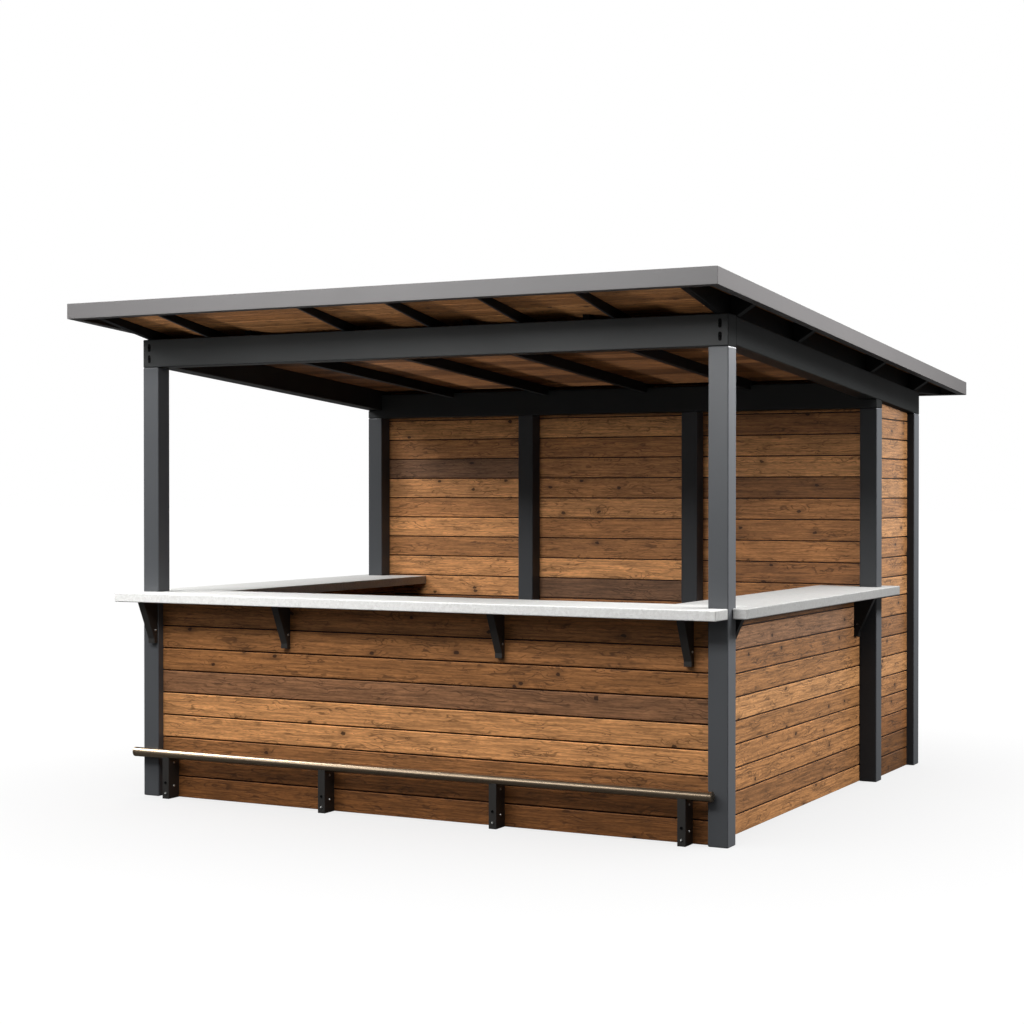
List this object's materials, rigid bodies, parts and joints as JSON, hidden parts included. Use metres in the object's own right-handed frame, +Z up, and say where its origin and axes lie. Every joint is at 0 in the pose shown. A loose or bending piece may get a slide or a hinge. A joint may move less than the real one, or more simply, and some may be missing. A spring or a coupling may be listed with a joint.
{
  "type": "garden bar gazebo",
  "caption": "Open garden bar under a mono-pitch roof on steel posts, with boarded counter walls, stone counter slabs, a foot rail and a closed boarded bay at the back.",
  "frame": {"origin": "on the ground under the middle of the roof's outline", "axes": "+Z up; +X to the right along the bar front; the bar front faces -Y; +Y along the roof's fall to the rear"},
  "size_m": [3.625, 4.195, 2.6162],
  "materials": {
    "frame_steel": "matt anthracite powder coat on steel box section",
    "fascia_metal": "satin grey coated folded sheet",
    "roof_metal": "matt dark grey coated sheet",
    "wall_boards": "oiled brown horizontal boards with grain and knots",
    "counter_stone": "honed pale grey speckled slab",
    "bracket_steel": "matt black coat on folded plate",
    "rail_metal": "brushed bronze-toned tube"
  },
  "bodies": {
    "root": {"front_left_post": "frame_steel", "front_right_post": "frame_steel", "back_left_post": "frame_steel", "back_inner_left_post": "frame_steel", "back_inner_right_post": "frame_steel", "back_right_post": "frame_steel", "rear_left_post": "frame_steel", "rear_inner_left_post": "frame_steel", "rear_inner_right_post": "frame_steel", "rear_right_post": "frame_steel", "front_beam": "frame_steel", "back_beam": "frame_steel", "rear_beam": "frame_steel", "left_side_beam": "frame_steel", "right_side_beam": "frame_steel", "inner_rafters": "frame_steel", "left_edge_rafter": "frame_steel", "right_edge_rafter": "frame_steel", "front_outriggers": "frame_steel", "left_lookouts": "frame_steel", "right_lookouts": "frame_steel", "front_soffit": "wall_boards", "ceiling_lining": "wall_boards", "ceiling_deck": "wall_boards", "roof_sheet": "roof_metal", "front_fascia": "fascia_metal", "rear_fascia": "fascia_metal", "left_fascia": "fascia_metal", "right_fascia": "fascia_metal", "front_counter_wall": "wall_boards", "left_counter_wall": "wall_boards", "right_counter_wall": "wall_boards", "back_wall": "wall_boards", "left_bay_wall": "wall_boards", "right_bay_wall": "wall_boards", "rear_wall": "wall_boards", "front_counter": "counter_stone", "left_counter": "counter_stone", "right_counter": "counter_stone", "front_brackets": "bracket_steel", "left_brackets": "bracket_steel", "right_brackets": "bracket_steel", "foot_rail": "rail_metal", "rail_legs": "bracket_steel"}
  },
  "joints": []
}
